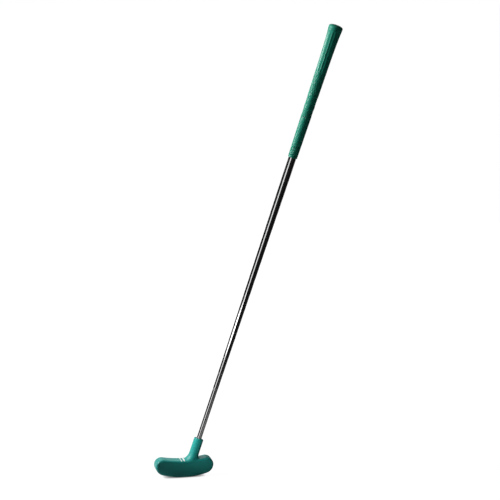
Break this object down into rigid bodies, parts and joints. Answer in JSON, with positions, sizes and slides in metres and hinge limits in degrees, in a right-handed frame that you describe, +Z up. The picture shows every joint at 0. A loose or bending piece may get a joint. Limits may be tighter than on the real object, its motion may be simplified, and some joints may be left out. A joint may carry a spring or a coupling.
{
  "type": "mini golf putter",
  "caption": "Two-way mini golf putter: a rubber-covered bean-shaped head on a leaning stepped steel shaft, with a moulded rubber grip.",
  "frame": {"origin": "on the ground, at the middle of the sole's flat, under the middle of the head", "axes": "+Z up, +X from the head's toe to its heel, which is the way the shaft leans, and +Y from the front face to the back face"},
  "size_m": [0.3559, 0.0272, 0.8469],
  "materials": {
    "head_rubber": "smooth moulded teal rubber with a soft sheen",
    "cast_zinc": "as-cast grey zinc alloy, not seen from outside",
    "line_paint": "white paint in shallow grooves",
    "bond_epoxy": "hard cured glue",
    "shaft_chrome": "bright chrome plate on steel",
    "tape": "two-sided masking tape",
    "grip_rubber": "moulded green rubber with a fine tread",
    "cap_rubber": "smooth moulded green rubber"
  },
  "bodies": {
    "root": {"head_cover": "head_rubber", "head_core": "cast_zinc", "alignment_line_1": "line_paint", "alignment_line_2": "line_paint", "hosel_bond": "bond_epoxy", "shaft": "shaft_chrome", "grip_tape": "tape", "grip_body": "grip_rubber", "grip_cap": "cap_rubber"}
  },
  "joints": []
}
